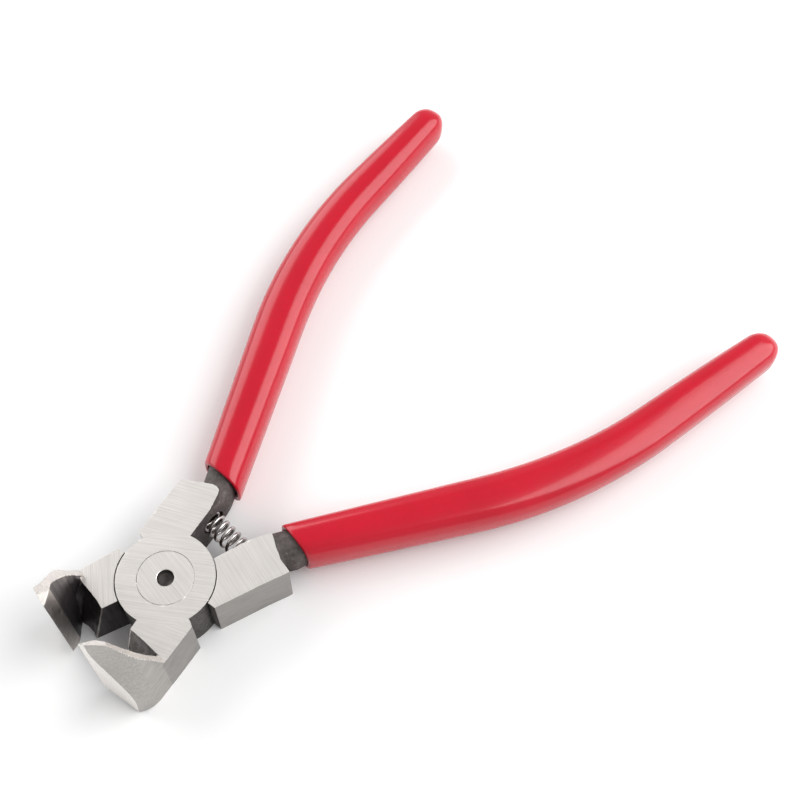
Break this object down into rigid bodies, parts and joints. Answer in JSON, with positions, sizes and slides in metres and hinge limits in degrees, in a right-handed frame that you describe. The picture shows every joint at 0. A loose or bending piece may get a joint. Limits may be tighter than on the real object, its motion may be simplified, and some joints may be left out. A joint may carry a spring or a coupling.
{
  "type": "tile nippers",
  "caption": "Compact spring-loaded end-cutting nippers: two lapped lever halves with flared jaws, a flush rivet, a return spring and dipped grips.",
  "frame": {"origin": "where the pivot axis meets the lower ground face of the lap joint", "axes": "+Z along the pivot axis towards the dimpled end of the rivet, +X out of the mouth of the jaws, handles along -X, +Y towards the upper half's jaw; the outlines of the two halves mirror each other across the XZ plane in the resting open pose"},
  "size_m": [0.1439, 0.098, 0.0286],
  "materials": {
    "lever_steel": "ground and brushed on the flats, dark forged skin on the tangs and in the jaws",
    "rivet_steel": "ground flush and brushed",
    "spring_steel": "dark drawn wire",
    "red_vinyl": "glossy dipped vinyl"
  },
  "bodies": {
    "upper_half": {"upper_lever": "lever_steel", "upper_grip": "red_vinyl", "pivot_rivet": "rivet_steel", "return_spring": "spring_steel"},
    "lower_half": {"lower_lever": "lever_steel", "lower_grip": "red_vinyl"}
  },
  "joints": [
    {"name": "pivot", "type": "hinge", "parent": "upper_half", "child": "lower_half", "pos_m": [0, 0, 0], "axis": [0, 0, 1], "range_deg": [-10, 25.3], "stiffness_Nm_per_rad": 0.35, "deforming": ["return_spring"]}
  ]
}
